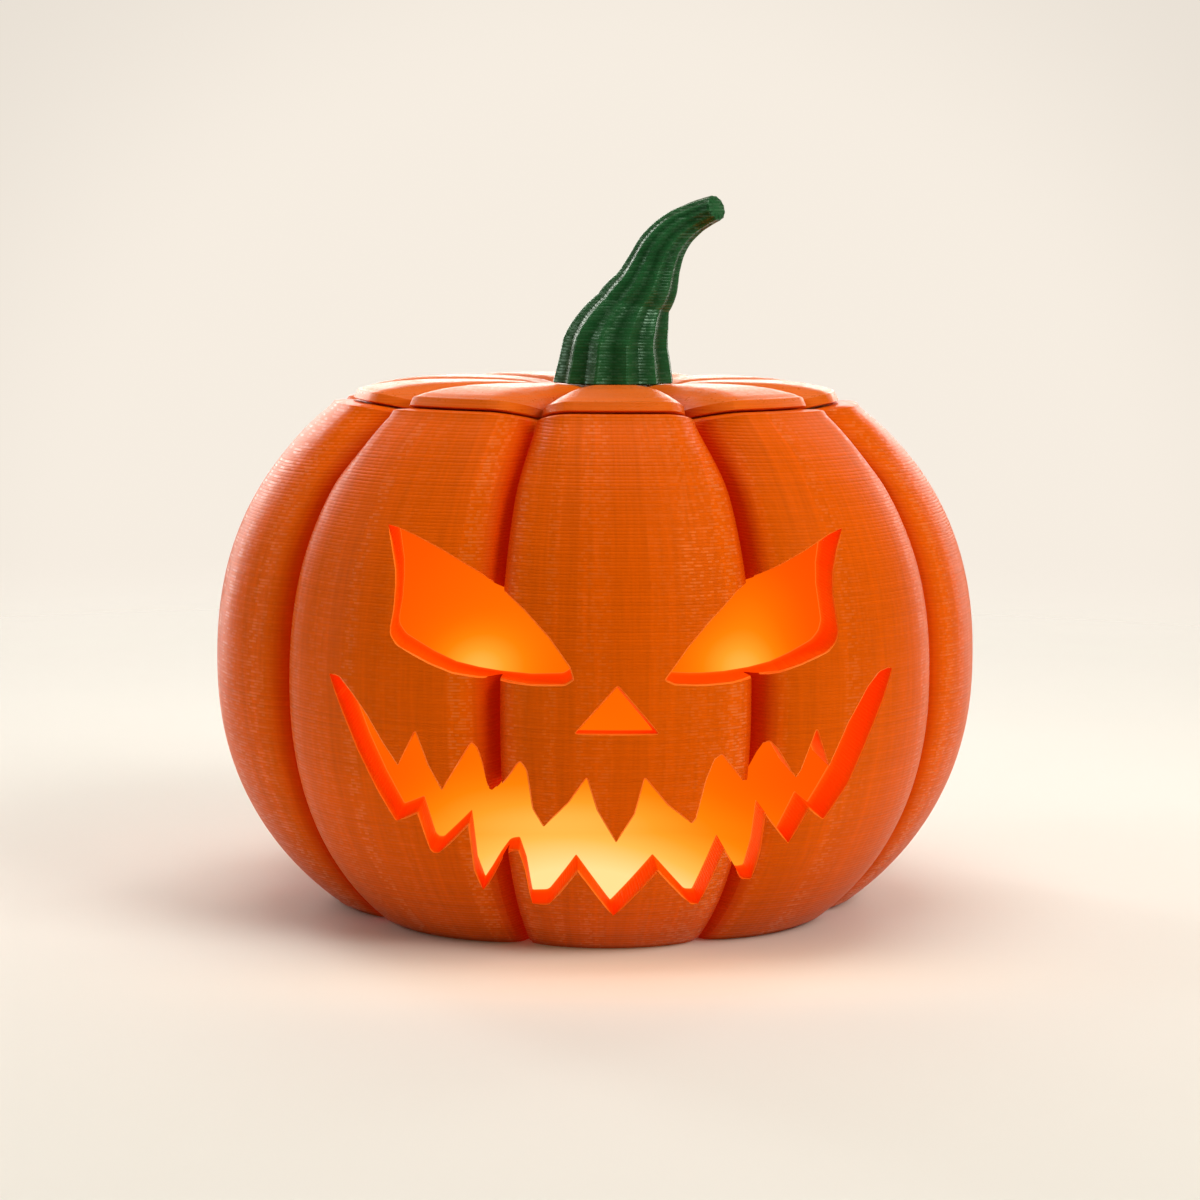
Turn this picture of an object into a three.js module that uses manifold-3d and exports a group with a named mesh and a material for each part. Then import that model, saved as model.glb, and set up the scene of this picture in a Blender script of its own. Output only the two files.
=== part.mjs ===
// Carved pumpkin lantern: a hollow printed plastic body with a cut-through face,
// a loose lid that sits on a conical seat, and a ribbed stem on the lid.
// Millimetres, +Z up. The origin is the middle of the flat base, the face looks along -Y.
import * as THREE from 'three';
import { mergeVertices } from 'three/addons/utils/BufferGeometryUtils.js';
import Module from 'manifold-3d';

const wasm = await Module();
wasm.setup();

// ---------------------------------------------------------------- driving sizes
const R = 60;                 // largest radius of the body, over the lobes
const LOBES = 9;              // equal lobes round the body and the lid
const LOBE_POWER = 0.237;     // flat lobes with narrow, steep grooves between them

const WAIST_Z = 0.6408 * R;   // height of the widest ring
const UP_A = 0.8552 * R, UP_P = 2.2596;      // superellipse above the waist
const LOW_A = 0.8337 * R, LOW_P = 2.1634;    // superellipse below the waist
const BASE_EDGE = 0.014 * R;  // rounding between the wall and the flat base

const GROOVE = 0.1587;        // groove depth as a share of the radius
const GROOVE_TOP = 0.0273;    // a little deeper towards the shoulder
const GROOVE_SEAT = 0.042;    // pinched further just under the lid
const GROOVE_BASE = -0.0109;  // a little shallower at the base

const SEAT_Z = 1.3160 * R;    // height of the lid seam on the lobes
const SEAT_R = 0.6365 * R;    // radius of the lid over its lobes
const SEAT_SLOPE = 0.2165;    // the seat falls towards the axis by this much per mm
const LID_GROOVE = 0.194;     // groove depth in the lid's rim, as a share of its radius
const RIM_NOTCH = 0.25;       // share of a lobe over which the rim curves into a groove
const LID_FLANK = 0.27;       // the same for the lobes on top of the lid

const GROOVE_WALL = 0.047 * R;  // wall left behind the grooves
const FLOOR_T = 0.052 * R;      // thickness of the floor
const MOUTH_R = 0.45 * R;       // radius of the round opening under the lid
const GAP = 0.3;                // clearance between pieces that touch

const CROWN = [0.044 * R, -0.004 * R];  // where the lid's grooves meet, under the stem
const LID_RISE = [              // lid profile on a lobe: share of the way out, height over the seam
  [0.00, 0.0400], [0.30, 0.0400], [0.35, 0.0490], [0.46, 0.0535], [0.60, 0.0550],
  [0.74, 0.0538], [0.86, 0.0480], [0.95, 0.0382], [1.00, 0.0290],
];
const LID_VALLEY = [            // how far the lid's grooves lie under that profile
  [0.00, 0.008], [0.30, 0.010], [0.50, 0.024], [0.83, 0.026], [0.95, 0.013], [1.00, 0.003],
];

const STEM_AXIS = [             // centre line of the stem: x, y, z, radius, all as shares of R
  [0.0448, -0.0040, 1.3620, 0.1636],
  [0.0474, -0.0043, 1.4166, 0.1527],
  [0.0506, -0.0045, 1.4712, 0.1412],
  [0.0690, -0.0097, 1.5232, 0.1208],
  [0.0956, -0.0162, 1.5718, 0.0955],
  [0.1250, -0.0237, 1.6180, 0.0872],
  [0.1452, -0.0288, 1.6684, 0.0733],
  [0.1676, -0.0343, 1.7186, 0.0642],
  [0.2020, -0.0435, 1.7610, 0.0532],
  [0.2464, -0.0580, 1.7925, 0.0425],
  [0.2770, -0.0790, 1.8085, 0.0375],
  [0.3015, -0.1055, 1.8195, 0.0340],
];
const STEM_RIBS = 12;           // ribs round the stem, flat faces between ridge and valley
const STEM_VALLEY = 0.88;       // radius of a valley over the radius of a ridge

// ---------------------------------------------------------------- the carved face
// Each outline is [x, z] on the outside of the wall, as shares of R, mirrored pairs in order
// from the outer tip inwards. The two sides of the hand-drawn face differ a little.
const EYE_LEFT = [
  [-0.560, 1.057], [-0.551, 1.017], [-0.542, 0.956], [-0.542, 0.917], [-0.547, 0.861],
  [-0.555, 0.821], [-0.555, 0.800], [-0.538, 0.778], [-0.466, 0.742], [-0.412, 0.721],
  [-0.355, 0.711], [-0.300, 0.705], [-0.230, 0.701], [-0.153, 0.705], [-0.135, 0.718],
  [-0.143, 0.745], [-0.189, 0.810], [-0.245, 0.871], [-0.290, 0.911], [-0.345, 0.951],
  [-0.432, 1.002], [-0.499, 1.035], [-0.536, 1.050],
];
const EYE_RIGHT = [
  [0.535, 1.048], [0.515, 0.996], [0.502, 0.946], [0.500, 0.897], [0.507, 0.848],
  [0.513, 0.807], [0.505, 0.782], [0.484, 0.762], [0.419, 0.736], [0.368, 0.719],
  [0.310, 0.709], [0.245, 0.703], [0.190, 0.702], [0.155, 0.703], [0.104, 0.707],
  [0.082, 0.717], [0.138, 0.791], [0.190, 0.847], [0.261, 0.911], [0.318, 0.942],
  [0.371, 0.967], [0.440, 1.002], [0.499, 1.034],
];
const NOSE = [[-0.031, 0.703], [-0.129, 0.591], [0.065, 0.591]];
const MOUTH_UPPER = [           // left corner to right corner along the upper teeth
  [-0.702, 0.696], [-0.678, 0.691], [-0.645, 0.650], [-0.614, 0.607], [-0.578, 0.545],
  [-0.540, 0.488], [-0.499, 0.575], [-0.471, 0.498], [-0.436, 0.432], [-0.380, 0.530],
  [-0.367, 0.551], [-0.355, 0.540], [-0.343, 0.507], [-0.325, 0.436], [-0.311, 0.425],
  [-0.297, 0.438], [-0.262, 0.503], [-0.254, 0.514], [-0.240, 0.495], [-0.225, 0.400],
  [-0.198, 0.355], [-0.140, 0.421], [-0.101, 0.483], [-0.075, 0.402], [-0.027, 0.320],
  [0.015, 0.394], [0.036, 0.483], [0.091, 0.415], [0.154, 0.363], [0.164, 0.374],
  [0.186, 0.472], [0.205, 0.520], [0.222, 0.531], [0.244, 0.503], [0.282, 0.455],
  [0.298, 0.453], [0.323, 0.519], [0.336, 0.545], [0.347, 0.548], [0.366, 0.529],
  [0.400, 0.473], [0.413, 0.458], [0.425, 0.475], [0.461, 0.575], [0.496, 0.480],
  [0.544, 0.586], [0.594, 0.667], [0.624, 0.700], [0.648, 0.708],
];
const MOUTH_LOWER = [           // right corner back to the left corner along the lower teeth
  [0.662, 0.706], [0.637, 0.637], [0.597, 0.548], [0.546, 0.432], [0.489, 0.346],
  [0.449, 0.381], [0.404, 0.289], [0.341, 0.372], [0.334, 0.269], [0.321, 0.194],
  [0.299, 0.192], [0.241, 0.289], [0.189, 0.137], [0.168, 0.140], [0.078, 0.245],
  [-0.020, 0.114], [-0.113, 0.246], [-0.175, 0.143], [-0.214, 0.139], [-0.233, 0.235],
  [-0.251, 0.288], [-0.269, 0.284], [-0.332, 0.169], [-0.353, 0.226], [-0.370, 0.352],
  [-0.440, 0.271], [-0.452, 0.270], [-0.461, 0.279], [-0.491, 0.375], [-0.542, 0.347],
  [-0.588, 0.427], [-0.633, 0.519], [-0.678, 0.630],
];
// Direction of each cut into the wall: dx = YAW - PINCH * x, dz = fall per mm of depth.
const CUT_YAW = 0.044, CUT_PINCH = 0.123;
const NOSE_FALL = -0.12;

// ---------------------------------------------------------------- mesh resolution
const LOBE_STEPS = [0, 0.03, 0.10, 0.23, 0.5, 0.77, 0.90, 0.97];  // columns in one lobe
const BODY_ROWS = 18, CAVITY_ROWS = 11, CAVITY_SIDES = 45, STEM_ROWS = 14;

// ---------------------------------------------------------------- helpers
const clamp01 = (t) => Math.min(1, Math.max(0, t));
const smooth = (t) => { t = clamp01(t); return t * t * (3 - 2 * t); };
function table(rows, t, column = 1) {          // linear reading of a small table of sizes
  for (let i = 1; i < rows.length; i++) {
    if (t <= rows[i][0]) {
      const [a, b] = [rows[i - 1], rows[i]];
      return a[column] + (b[column] - a[column]) * (t - a[0]) / (b[0] - a[0]);
    }
  }
  return rows[rows.length - 1][column];
}
const lobe = (s) => Math.pow(Math.abs(Math.sin(Math.PI * s)), LOBE_POWER);
function profile(z) {                           // radius over the lobes at height z
  const up = z > WAIST_Z;
  const t = clamp01(up ? (z - WAIST_Z) / UP_A : (WAIST_Z - z) / LOW_A);
  const p = up ? UP_P : LOW_P;
  return R * Math.pow(1 - Math.pow(t, p), 1 / p);
}
function grooveDepth(z) {
  const t = z / R;
  return GROOVE + GROOVE_TOP * smooth((t - 0.87) / 0.45)
    + GROOVE_SEAT * smooth((t - 1.12) / 0.19) + GROOVE_BASE * smooth((0.45 - t) / 0.45);
}
const seatZ = (r) => SEAT_Z - SEAT_SLOPE * (SEAT_R - r);
const notch = (s, width) => Math.sin(Math.PI / 2 * Math.min(1, Math.min(s, 1 - s) / width));
const rimLobe = (s) => Math.pow(notch(s, RIM_NOTCH), 0.75);
const rim = (s) => SEAT_R * (1 - LID_GROOVE * (1 - rimLobe(s)));
function outer(s, z) {                          // the grooves open out into the rim's notches
  const k = smooth((z / R - 1.12) / 0.19), l = lobe(s) * (1 - k) + rimLobe(s) * k;
  return profile(z) * (1 - grooveDepth(z) * (1 - l));
}

// Columns round the object: the angle from the face (-Y) towards +X, and the place in its lobe.
const columns = [];
for (let k = 0; k < LOBES; k++) {
  for (const s of LOBE_STEPS) columns.push({ s, a: (k - 0.5 + s) * 2 * Math.PI / LOBES });
}
const at = (r, a, z) => [r * Math.sin(a), -r * Math.cos(a), z];

// A closed solid from rings of points, listed from the bottom up, each ring anticlockwise from
// above. The first and last entries are single points that close the ends.
function ringSolid(bottom, rings, top) {
  const n = rings[0].length, position = [bottom, ...rings.flat(), top].flat(), index = [];
  const id = (i, j) => 1 + i * n + (j % n), last = 1 + rings.length * n;
  for (let j = 0; j < n; j++) {
    index.push(0, id(0, j + 1), id(0, j));
    for (let i = 0; i + 1 < rings.length; i++) {
      const [p, q, r, s] = [id(i, j), id(i, j + 1), id(i + 1, j + 1), id(i + 1, j)];
      if ((i + j) % 2) index.push(p, q, r, p, r, s); else index.push(p, q, s, q, r, s);
    }
    index.push(last, id(rings.length - 1, j), id(rings.length - 1, j + 1));
  }
  const g = new THREE.BufferGeometry();
  g.setAttribute('position', new THREE.Float32BufferAttribute(position, 3));
  g.setIndex(index);
  return g;
}
function toManifold(geometry) {
  const g = geometry.clone();
  g.deleteAttribute('normal'); g.deleteAttribute('uv');
  const m = mergeVertices(g, 1e-4);
  return new wasm.Manifold(new wasm.Mesh({
    numProp: 3,
    vertProperties: new Float32Array(m.attributes.position.array),
    triVerts: new Uint32Array(m.index.array),
  }));
}
function toGeometry(manifold) {
  const m = manifold.getMesh(), g = new THREE.BufferGeometry();
  g.setAttribute('position', new THREE.Float32BufferAttribute(Array.from(m.vertProperties), 3));
  g.setIndex(Array.from(m.triVerts));
  return g;
}

// ---------------------------------------------------------------- body
function bodyOutside() {
  // The wall stops level with the lid's seam, so each column has its own top, and a narrow
  // shelf leads from there to the conical seat.
  const tops = columns.map(({ s }) => seatZ(rim(s)));
  const rings = [columns.map(({ s, a }) => at(outer(s, 0) - BASE_EDGE, a, 0))];
  for (let i = 0; i <= BODY_ROWS; i++) {
    const t = i / BODY_ROWS, u = t + 0.10 * Math.sin(2 * Math.PI * t) / (2 * Math.PI);
    rings.push(columns.map(({ s, a }, j) => {
      const z = BASE_EDGE + (tops[j] - BASE_EDGE) * u;
      return at(outer(s, z), a, z);
    }));
  }
  rings.push(columns.map(({ s, a }) => at(rim(s), a, seatZ(rim(s)))));
  rings.push(columns.map(({ a }) => at(MOUTH_R - 2, a, seatZ(MOUTH_R - 2))));
  return ringSolid([0, 0, 0], rings, [0, 0, seatZ(MOUTH_R - 2)]);
}

function cavity() {
  // Follows the bottoms of the grooves at a constant wall, flat at the floor, straight at the neck.
  const wall = (z) => {
    const g = (y) => profile(y) * (1 - grooveDepth(Math.min(y, 1.12 * R)));
    const slope = (g(z + 0.5) - g(z - 0.5));
    return g(z) - GROOVE_WALL * Math.hypot(1, slope);
  };
  const neckZ = 1.235 * R, points = [new THREE.Vector2(0, FLOOR_T), new THREE.Vector2(wall(FLOOR_T) - 1.2, FLOOR_T)];
  for (let i = 0; i <= CAVITY_ROWS; i++) {
    const t = i / CAVITY_ROWS, z = FLOOR_T + 1.4 + (neckZ - FLOOR_T - 1.4) * (1 - Math.cos(Math.PI * t)) / 2;
    points.push(new THREE.Vector2(Math.max(MOUTH_R, wall(z)), z));
  }
  points.push(new THREE.Vector2(MOUTH_R, neckZ + 1.0), new THREE.Vector2(MOUTH_R, 1.5 * R), new THREE.Vector2(0, 1.5 * R));
  const g = new THREE.LatheGeometry(points, CAVITY_SIDES);
  g.rotateX(Math.PI / 2);
  return g;
}

// Cut through the front wall: a prism whose sides pass through the outline where it lies on the
// outside of the wall, running inwards along the outline's own direction at each point.
function outsideY(x, z) {
  let y = -Math.sqrt(Math.max(R * R - x * x, 1));
  for (let i = 0; i < 30; i++) {
    const s = (Math.atan2(x, -y) * LOBES / (2 * Math.PI) + 0.5 + LOBES) % 1;
    y = -Math.sqrt(Math.max(outer(s, z) ** 2 - x * x, 1));
  }
  return y;
}
function cutter(outline, fall = 0) {
  const near = -1.25 * R, far = -0.30 * R;
  const flat = outline.map(([x, z]) => new THREE.Vector2(x * R, z * R));
  if (THREE.ShapeUtils.isClockWise(flat)) flat.reverse();
  const n = flat.length, position = [], index = [];
  for (const plane of [near, far]) {
    for (const p of flat) {
      const y = outsideY(p.x, p.y), d = plane - y, dx = CUT_YAW - CUT_PINCH * p.x / R;
      position.push(p.x + dx * d, plane, p.y + fall * d);
    }
  }
  for (const t of THREE.ShapeUtils.triangulateShape(flat, [])) {
    const [a, b, c] = THREE.ShapeUtils.isClockWise(t.map((i) => flat[i])) ? [t[0], t[2], t[1]] : t;
    index.push(a, b, c, n + a, n + c, n + b);
  }
  for (let i = 0; i < n; i++) {
    const j = (i + 1) % n;
    index.push(i, n + i, j, j, n + i, n + j);
  }
  const g = new THREE.BufferGeometry();
  g.setAttribute('position', new THREE.Float32BufferAttribute(position, 3));
  g.setIndex(index);
  return g;
}

function carvedBody() {
  let body = toManifold(bodyOutside()).subtract(toManifold(cavity()));
  for (const cut of [cutter(EYE_LEFT), cutter(EYE_RIGHT), cutter(NOSE, NOSE_FALL), cutter([...MOUTH_UPPER, ...MOUTH_LOWER])]) {
    body = body.subtract(toManifold(cut));
  }
  return toGeometry(body);
}

// ---------------------------------------------------------------- lid
function lidGeometry() {
  // t runs from the crown (0) to the rim (1); the grooves bend from the axis towards the crown.
  const place = (s, a, t, z) => {
    const r = rim(s) * t, k = 1 - t;
    return [r * Math.sin(a) + CROWN[0] * k, -r * Math.cos(a) + CROWN[1] * k, z];
  };
  const flatR = MOUTH_R - 1.5, under = seatZ(flatR) + GAP;
  const topZ = (s, t) => {
    const valley = table(LID_VALLEY, t) * (1 - Math.pow(notch(s, LID_FLANK), 0.9));
    const base = SEAT_Z + (seatZ(rim(s)) - SEAT_Z) * t * t;   // the rim dips at the grooves
    return base + (table(LID_RISE, t) - valley) * R;
  };
  const rings = [
    columns.map(({ a }) => at(flatR, a, under)),
    columns.map(({ s, a }) => at(rim(s), a, seatZ(rim(s)) + GAP)),
  ];
  for (const t of [1.0, 0.95, 0.86, 0.70, 0.50, 0.35, 0.30]) {
    rings.push(columns.map(({ s, a }) => place(s, a, t === 1 ? 0.982 : t * 0.982, topZ(s, t))));
  }
  return ringSolid([0, 0, under], rings, [CROWN[0], CROWN[1], SEAT_Z + (LID_RISE[0][1] - LID_VALLEY[0][1]) * R]);
}

// ---------------------------------------------------------------- stem
function stemGeometry() {
  const v = (i) => new THREE.Vector3(STEM_AXIS[i][0], STEM_AXIS[i][1], STEM_AXIS[i][2]).multiplyScalar(R);
  const curve = new THREE.CatmullRomCurve3(STEM_AXIS.map((_, i) => v(i)), false, 'centripetal');
  const radii = STEM_AXIS.map((row) => row[3] * R);
  const rings = [], n = STEM_RIBS * 2, side = new THREE.Vector3(1, 0, 0);
  for (let i = 0; i <= STEM_ROWS; i++) {
    const t = i / STEM_ROWS, f = t * (radii.length - 1), k = Math.min(Math.floor(f), radii.length - 2);
    const c = curve.getPoint(t), along = curve.getTangent(t);
    const r = radii[k] + (radii[k + 1] - radii[k]) * (f - k);
    // The sections are level at the base and turn square to the centre line towards the tip.
    const d = new THREE.Vector3(0, 0, 1).lerp(along, Math.pow(t, 0.8)).normalize();
    side.addScaledVector(d, -side.dot(d)).normalize();
    const other = new THREE.Vector3().crossVectors(d, side);
    const ring = [];
    for (let j = 0; j < n; j++) {
      const a = (j + 0.5) * 2 * Math.PI / n;
      const e = side.clone().multiplyScalar(Math.cos(a)).addScaledVector(other, Math.sin(a));
      const q = r * (j % 2 ? STEM_VALLEY + 0.06 * t : 1) / (i ? Math.sqrt(1 - e.dot(along) ** 2) : 1);
      const p = c.clone().addScaledVector(e, q);
      ring.push([p.x, p.y, i ? p.z : STEM_AXIS[0][2] * R]);
    }
    rings.push(ring);
  }
  const first = curve.getPoint(0), last = curve.getPoint(1);
  return ringSolid([first.x, first.y, STEM_AXIS[0][2] * R], rings, [last.x, last.y, last.z]);
}

// ---------------------------------------------------------------- the lantern
function piece(name, geometry, color, roughness) {
  const mesh = new THREE.Mesh(geometry, new THREE.MeshStandardMaterial({ color, roughness, metalness: 0 }));
  mesh.name = name;
  return mesh;
}
const lantern = new THREE.Group();
lantern.add(
  piece('body', carvedBody(), 0xe0600c, 0.5),
  piece('lid', lidGeometry(), 0xe0600c, 0.5),
  piece('stem', stemGeometry(), 0x145028, 0.4),
);
export default lantern;
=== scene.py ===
# Looks of the carved pumpkin lantern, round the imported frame. Lengths in the mesh code are
# millimetres, as in the CAD source, and become metres when a mesh is made.
import math
import bpy
import bmesh
import numpy as np
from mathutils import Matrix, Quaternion, Vector


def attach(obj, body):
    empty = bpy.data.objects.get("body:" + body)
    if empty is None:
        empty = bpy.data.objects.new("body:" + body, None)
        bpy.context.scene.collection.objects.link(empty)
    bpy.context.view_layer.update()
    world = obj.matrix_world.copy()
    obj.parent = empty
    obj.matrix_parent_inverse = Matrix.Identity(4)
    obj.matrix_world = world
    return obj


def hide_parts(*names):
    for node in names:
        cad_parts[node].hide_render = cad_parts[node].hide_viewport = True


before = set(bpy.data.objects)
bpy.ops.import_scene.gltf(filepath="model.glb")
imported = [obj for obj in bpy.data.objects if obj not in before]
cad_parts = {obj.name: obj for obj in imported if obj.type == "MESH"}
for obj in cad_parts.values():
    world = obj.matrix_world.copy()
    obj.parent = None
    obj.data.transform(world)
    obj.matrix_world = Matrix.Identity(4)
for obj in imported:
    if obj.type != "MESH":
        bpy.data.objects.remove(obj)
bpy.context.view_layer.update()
scene = bpy.context.scene

# ---------------------------------------------------------------- sizes, the same as the CAD's
R = 60.0
LOBES = 9
LOBE_POWER = 0.237
WAIST_Z = 0.6408 * R
UP_A, UP_P = 0.8552 * R, 2.2596
LOW_A, LOW_P = 0.8337 * R, 2.1634
BASE_EDGE = 0.014 * R
GROOVE, GROOVE_TOP, GROOVE_SEAT, GROOVE_BASE = 0.1587, 0.0273, 0.042, -0.0109
SEAT_Z, SEAT_R, SEAT_SLOPE = 1.3160 * R, 0.6365 * R, 0.2165
LID_GROOVE, RIM_NOTCH, LID_FLANK = 0.194, 0.25, 0.27
GROOVE_WALL, FLOOR_T, MOUTH_R, GAP = 0.047 * R, 0.052 * R, 0.45 * R, 0.3
CROWN = (0.044 * R, -0.004 * R)
LID_RISE = [
    (0.00, 0.0400), (0.30, 0.0400), (0.35, 0.0490), (0.46, 0.0535), (0.60, 0.0550),
    (0.74, 0.0538), (0.86, 0.0480), (0.95, 0.0382), (1.00, 0.0290),
]
LID_VALLEY = [(0.00, 0.008), (0.30, 0.010), (0.50, 0.024), (0.83, 0.026), (0.95, 0.013), (1.00, 0.003)]
STEM_AXIS = [
    (0.0448, -0.0040, 1.3620, 0.1636), (0.0474, -0.0043, 1.4166, 0.1527),
    (0.0506, -0.0045, 1.4712, 0.1412), (0.0690, -0.0097, 1.5232, 0.1208),
    (0.0956, -0.0162, 1.5718, 0.0955), (0.1250, -0.0237, 1.6180, 0.0872),
    (0.1452, -0.0288, 1.6684, 0.0733), (0.1676, -0.0343, 1.7186, 0.0642),
    (0.2020, -0.0435, 1.7610, 0.0532), (0.2464, -0.0580, 1.7925, 0.0425),
    (0.2770, -0.0790, 1.8085, 0.0375), (0.3015, -0.1055, 1.8195, 0.0340),
]
STEM_RIBS, STEM_VALLEY = 12, 0.88
EYE_LEFT = [
    (-0.560, 1.057), (-0.551, 1.017), (-0.542, 0.956), (-0.542, 0.917), (-0.547, 0.861),
    (-0.555, 0.821), (-0.555, 0.800), (-0.538, 0.778), (-0.466, 0.742), (-0.412, 0.721),
    (-0.355, 0.711), (-0.300, 0.705), (-0.230, 0.701), (-0.153, 0.705), (-0.135, 0.718),
    (-0.143, 0.745), (-0.189, 0.810), (-0.245, 0.871), (-0.290, 0.911), (-0.345, 0.951),
    (-0.432, 1.002), (-0.499, 1.035), (-0.536, 1.050),
]
EYE_RIGHT = [
    (0.535, 1.048), (0.515, 0.996), (0.502, 0.946), (0.500, 0.897), (0.507, 0.848),
    (0.513, 0.807), (0.505, 0.782), (0.484, 0.762), (0.419, 0.736), (0.368, 0.719),
    (0.310, 0.709), (0.245, 0.703), (0.190, 0.702), (0.155, 0.703), (0.104, 0.707),
    (0.082, 0.717), (0.138, 0.791), (0.190, 0.847), (0.261, 0.911), (0.318, 0.942),
    (0.371, 0.967), (0.440, 1.002), (0.499, 1.034),
]
NOSE = [(-0.031, 0.703), (-0.129, 0.591), (0.065, 0.591)]
MOUTH = [
    (-0.702, 0.696), (-0.678, 0.691), (-0.645, 0.650), (-0.614, 0.607), (-0.578, 0.545),
    (-0.540, 0.488), (-0.499, 0.575), (-0.471, 0.498), (-0.436, 0.432), (-0.380, 0.530),
    (-0.367, 0.551), (-0.355, 0.540), (-0.343, 0.507), (-0.325, 0.436), (-0.311, 0.425),
    (-0.297, 0.438), (-0.262, 0.503), (-0.254, 0.514), (-0.240, 0.495), (-0.225, 0.400),
    (-0.198, 0.355), (-0.140, 0.421), (-0.101, 0.483), (-0.075, 0.402), (-0.027, 0.320),
    (0.015, 0.394), (0.036, 0.483), (0.091, 0.415), (0.154, 0.363), (0.164, 0.374),
    (0.186, 0.472), (0.205, 0.520), (0.222, 0.531), (0.244, 0.503), (0.282, 0.455),
    (0.298, 0.453), (0.323, 0.519), (0.336, 0.545), (0.347, 0.548), (0.366, 0.529),
    (0.400, 0.473), (0.413, 0.458), (0.425, 0.475), (0.461, 0.575), (0.496, 0.480),
    (0.544, 0.586), (0.594, 0.667), (0.624, 0.700), (0.648, 0.708),
    (0.662, 0.706), (0.637, 0.637), (0.597, 0.548), (0.546, 0.432), (0.489, 0.346),
    (0.449, 0.381), (0.404, 0.289), (0.341, 0.372), (0.334, 0.269), (0.321, 0.194),
    (0.299, 0.192), (0.241, 0.289), (0.189, 0.137), (0.168, 0.140), (0.078, 0.245),
    (-0.020, 0.114), (-0.113, 0.246), (-0.175, 0.143), (-0.214, 0.139), (-0.233, 0.235),
    (-0.251, 0.288), (-0.269, 0.284), (-0.332, 0.169), (-0.353, 0.226), (-0.370, 0.352),
    (-0.440, 0.271), (-0.452, 0.270), (-0.461, 0.279), (-0.491, 0.375), (-0.542, 0.347),
    (-0.588, 0.427), (-0.633, 0.519), (-0.678, 0.630),
]
CUT_YAW, CUT_PINCH, NOSE_FALL = 0.044, 0.123, -0.12
EDGE_OUT, EDGE_IN = 0.20, 0.28        # chamfer round each opening: outwards, inwards

LAYER = 0.46                          # print layer height
HIGHLIGHT_DASH = 0.55                           # length of the painted highlight dashes along a layer
GROOVE_SHADE_REACH = 0.105                  # share of a lobe over which its flank is painted deep red as groove shade
# the deep orange is painted shade, used towards each groove
ORANGE_OPEN, ORANGE_GROOVE_SHADE = (0.79, 0.112, 0.0004), (0.46, 0.014, 0.0003)
# the dash colour is a painted highlight colour; the groove glow paints faint light into the grooves
DASH_HIGHLIGHT_COLOUR, GROOVE_PAINTED_GLOW = (1.0, 0.34, 0.10), (0.16, 0.003, 0.0)
SHEEN, DASH_SHEEN = 0.07, 0.55

# ---------------------------------------------------------------- shape functions
smooth = lambda t: (lambda c: c * c * (3 - 2 * c))(np.clip(t, 0, 1))


def table(rows, t):
    a = np.array(rows)
    return np.interp(t, a[:, 0], a[:, 1])


def profile(z):
    z = np.asarray(z, float)
    up = z > WAIST_Z
    t = np.clip(np.where(up, (z - WAIST_Z) / UP_A, (WAIST_Z - z) / LOW_A), 0, 1)
    p = np.where(up, UP_P, LOW_P)
    return R * (1 - t ** p) ** (1 / p)


def groove_depth(z):
    t = np.asarray(z, float) / R
    return (GROOVE + GROOVE_TOP * smooth((t - 0.87) / 0.45)
            + GROOVE_SEAT * smooth((t - 1.12) / 0.19) + GROOVE_BASE * smooth((0.45 - t) / 0.45))


def lobe(s):
    return np.abs(np.sin(np.pi * np.asarray(s, float))) ** LOBE_POWER


def notch(s, width):
    return np.sin(np.pi / 2 * np.minimum(1, np.minimum(s, 1 - s) / width))


def rim(s):
    return SEAT_R * (1 - LID_GROOVE * (1 - notch(s, RIM_NOTCH) ** 0.75))


def seat_z(r):
    return SEAT_Z - SEAT_SLOPE * (SEAT_R - r)


def outer(s, z):
    k = smooth((np.asarray(z, float) / R - 1.12) / 0.19)
    l = lobe(s) * (1 - k) + notch(s, RIM_NOTCH) ** 0.75 * k
    return profile(z) * (1 - groove_depth(z) * (1 - l))


# The lobes are made of narrow flat facets. Their edges, as places in a lobe:
HALF = [0, 0.030, 0.062, 0.100, 0.145, 0.195, 0.250, 0.310, 0.372, 0.436, 0.5]
FACET_EDGES = np.array(HALF + [1 - v for v in HALF[-2::-1]])
FACET_COLUMNS = (0.13, 0.87)          # each facet's two columns, so its edges are eased


def facet_columns():
    """s, angle for each column of the fine mesh, and the ends of the facet that holds it."""
    rows = []
    for k in range(LOBES):
        for i in range(len(FACET_EDGES) - 1):
            a, b = FACET_EDGES[i], FACET_EDGES[i + 1]
            for u in FACET_COLUMNS:
                rows.append((k, a, b, a + (b - a) * u))
    return np.array(rows)


COLS = facet_columns()
MIDDLE = (FACET_EDGES[1:] + FACET_EDGES[:-1]) / 2
INSIDE = np.minimum(MIDDLE, 1 - MIDDLE)          # how far each facet is from its nearer groove
# Per facet, a random tone plus a painted highlight: strongest near each lobe's shoulders and on the right half of the
# front lobe, none on the facets next to the grooves.
FACET_TONE_AND_HIGHLIGHT = np.random.default_rng(7).random((LOBES, len(MIDDLE))) * 0.70 + 0.40 * np.exp(-((INSIDE - 0.11) / 0.03) ** 2)
FACET_TONE_AND_HIGHLIGHT[0, 11:18] += 0.25
FACET_TONE_AND_HIGHLIGHT = np.clip(FACET_TONE_AND_HIGHLIGHT, 0, 1) * (INSIDE > 0.06)
STEP = 2 * math.pi / LOBES


def chord(radius, z, cols=COLS):
    """Radius at each column: straight in plan from one facet edge to the next."""
    s0, s1, s = cols[:, 1], cols[:, 2], cols[:, 3]
    r0, r1 = radius(s0, z), radius(s1, z)
    w = (s1 - s0) * STEP
    return r0 * r1 * np.sin(w) / (r0 * np.sin((s - s0) * STEP) + r1 * np.sin((s1 - s) * STEP))


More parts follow.
